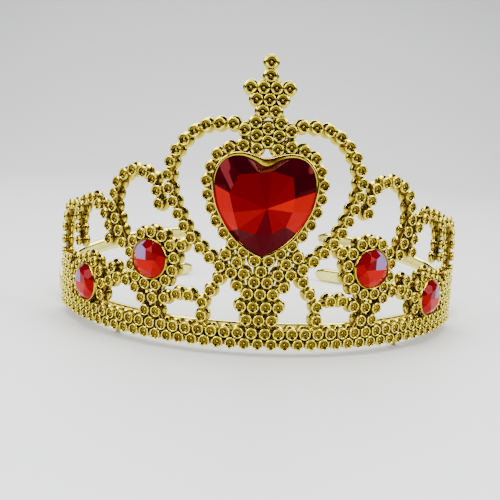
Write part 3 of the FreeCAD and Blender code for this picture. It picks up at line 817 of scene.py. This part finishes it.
def comb_arm(side, mirror):
    """One strip at the rim that forks past the bend into two tines."""
    places = arm_line()
    bend_y = float((places[1][0] + heading(places[1][1]) * ARM_RUN)[1])
    tip_y = float(places[-1][0][1])
    h_root, h_tip = ARM_HEIGHT / 2, TINE_HEIGHT / 2
    run = tip_y - h_tip - bend_y
    fine = [places[0]]
    for (here, angle), (there, after) in zip(places, places[1:]):
        parts = 12 if there[1] > tip_y - h_tip - 1.5 else 2
        for k in range(1, parts + 1):
            share = k / parts
            fine.append((here + (there - here) * share, angle + (after - angle) * share))

    def at(share, z, h):
        return (bend_y + share * run, z, h)
    rise = UPPER_TIP_Z - ARM_ROOT_Z
    low = [(float(places[0][0][1]), ARM_ROOT_Z, h_root), at(0.0, ARM_ROOT_Z - 0.1, h_root),
           at(0.45, (ARM_ROOT_Z + h_tip) / 2 + 0.1, h_root + 0.1), at(1.0, h_tip, h_tip)]
    high = [at(0.02, ARM_ROOT_Z, h_root - 0.4), at(0.20, ARM_ROOT_Z + 0.22 * rise, h_root - 0.3),
            at(0.42, ARM_ROOT_Z + 0.56 * rise, h_root - 0.1),
            at(0.62, ARM_ROOT_Z + 0.83 * rise, h_root + 0.1),
            at(0.80, ARM_ROOT_Z + 0.96 * rise, h_tip - 0.05), at(1.0, UPPER_TIP_Z, h_tip)]
    points, faces = [], []
    for stations in (low, high):
        made, rings, size = strip(fine, stations)
        base = len(points)
        points += made
        faces += ring_faces(rings, size, base)
        faces.append(tuple(reversed(range(base, base + size))))
        faces.append(tuple(range(base + (rings - 1) * size, base + rings * size)))
    points = np.array(points) * (mirror, 1, 1)
    if mirror < 0:
        faces = [tuple(reversed(face)) for face in faces]
    arm = make_piece(side + "arm", points, faces, SMOOTH_GOLD,
                     [side + "comb_arm"], [("painted_shade", [0.0] * len(points))], sharp=55, body=None)
    start = Vector((*places[0][0], ARM_ROOT_Z)) * MM
    end = Vector((*places[ARM_FREE_STEP][0], ARM_ROOT_Z)) * MM
    start.x *= mirror
    end.x *= mirror
    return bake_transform(arm)


# ---- assembly -------------------------------------------------------------------------------
def build_tiara():
    taken = []
    for name, beads in middle_groups().items():
        beadwork(name, beads, taken, ROW_FLANGE_DIA if "row" in name else FLANGE_DIA)
        taken = taken + beads
    inner_rim()
    rim_nubs()
    heart_cup()
    heart_gem()
    for side, mirror in (("right_", 1), ("left_", -1)):
        earlier = taken
        for name, beads in side_groups().items():
            placed = [(mirror * s, z) for s, z in beads]
            beadwork(side + name, placed, earlier)
            earlier = earlier + placed
        for place, centre in (("mid", MID_MEDALLION), ("outer", OUTER_MEDALLION)):
            round_cup(side, place, centre, mirror)
            round_gem(side, place, centre, mirror)
        comb_arm(side, mirror)


# ---- stage, lights and camera ---------------------------------------------------------------
def pale_sweep():
    """Pale floor that curves up into a backdrop."""
    material, tree, shader = new_material("pale_card")
    tone = mixed(tree, noise(tree, 3.0), (0.66, 0.66, 0.65, 1), (0.70, 0.70, 0.69, 1))
    tree.links.new(tone, shader.inputs["Base Color"])
    shader.inputs["Roughness"].default_value = 0.42
    width, front, back, bend, top = 2.2, -1.2, 0.55, 0.35, 1.6
    profile = [(front, 0.0), (back, 0.0)]
    for i in range(1, 13):
        a = math.radians(90 * i / 12)
        profile.append((back + bend * math.sin(a), bend - bend * math.cos(a)))
    profile.append((back + bend, top))
    points = [(x, y, z) for y, z in profile for x in (-width, width)]
    faces = [(2 * i, 2 * i + 1, 2 * i + 3, 2 * i + 2) for i in range(len(profile) - 1)]
    mesh = bpy.data.meshes.new("pale_sweep")
    mesh.from_pydata(points, [], faces)
    mesh.shade_smooth()
    mesh.materials.append(material)
    sweep = bpy.data.objects.new("pale_sweep", mesh)
    bpy.context.scene.collection.objects.link(sweep)


def softbox(name, place, aim, size, watts, colour=(1, 1, 1)):
    """Rectangular soft light, aimed at a point."""
    light = bpy.data.lights.new(name, "AREA")
    light.shape = "RECTANGLE"
    light.size, light.size_y = size
    light.energy = watts
    light.color = colour
    lamp = bpy.data.objects.new(name, light)
    lamp.location = place
    lamp.rotation_euler = (Vector(aim) - Vector(place)).to_track_quat("-Z", "Y").to_euler()
    bpy.context.scene.collection.objects.link(lamp)


def studio():
    middle = (0.0, -0.03, 0.035)
    softbox("left_softbox", (-0.42, -0.34, 0.42), middle, (0.34, 0.42), 7.0, (0.93, 0.96, 1.0))
    softbox("right_softbox", (0.46, -0.30, 0.40), middle, (0.30, 0.42), 6.0, (0.93, 0.96, 1.0))
    softbox("top_softbox", (0.0, 0.05, 0.62), middle, (0.5, 0.4), 6.0)
    softbox("back_softbox", (0.0, 0.5, 0.5), (0, 0.3, 0), (1.2, 0.4), 7.0)
    world = bpy.data.worlds.new("studio_air")
    world.use_nodes = True
    world.node_tree.nodes["Background"].inputs["Color"].default_value = (0.035, 0.036, 0.038, 1)
    bpy.context.scene.world = world


def camera():
    """Camera a little above the heart and left of it, tipped down and slightly rolled."""
    pitch, yaw, roll = math.radians(9.562), math.radians(0.617), math.radians(2.772)
    forward = Vector((math.sin(yaw) * math.cos(pitch), math.cos(yaw) * math.cos(pitch),
                      -math.sin(pitch)))
    right = Vector((math.cos(yaw), -math.sin(yaw), 0))
    up = right.cross(forward)
    x_axis = right * math.cos(roll) + up * math.sin(roll)
    y_axis = up * math.cos(roll) - right * math.sin(roll)
    lens = bpy.data.cameras.new("camera")
    lens.sensor_width = 36.0
    lens.lens = 50.6
    lens.clip_start = 0.01
    made = bpy.data.objects.new("camera", lens)
    place = Matrix((x_axis, y_axis, -forward)).transposed().to_4x4()
    place.translation = Vector((-4.91, WALL_FRONT_Y - 172.89, 57.09)) * MM
    made.matrix_world = place
    bpy.context.scene.collection.objects.link(made)
    bpy.context.scene.camera = made


build_tiara()
pale_sweep()
studio()
camera()
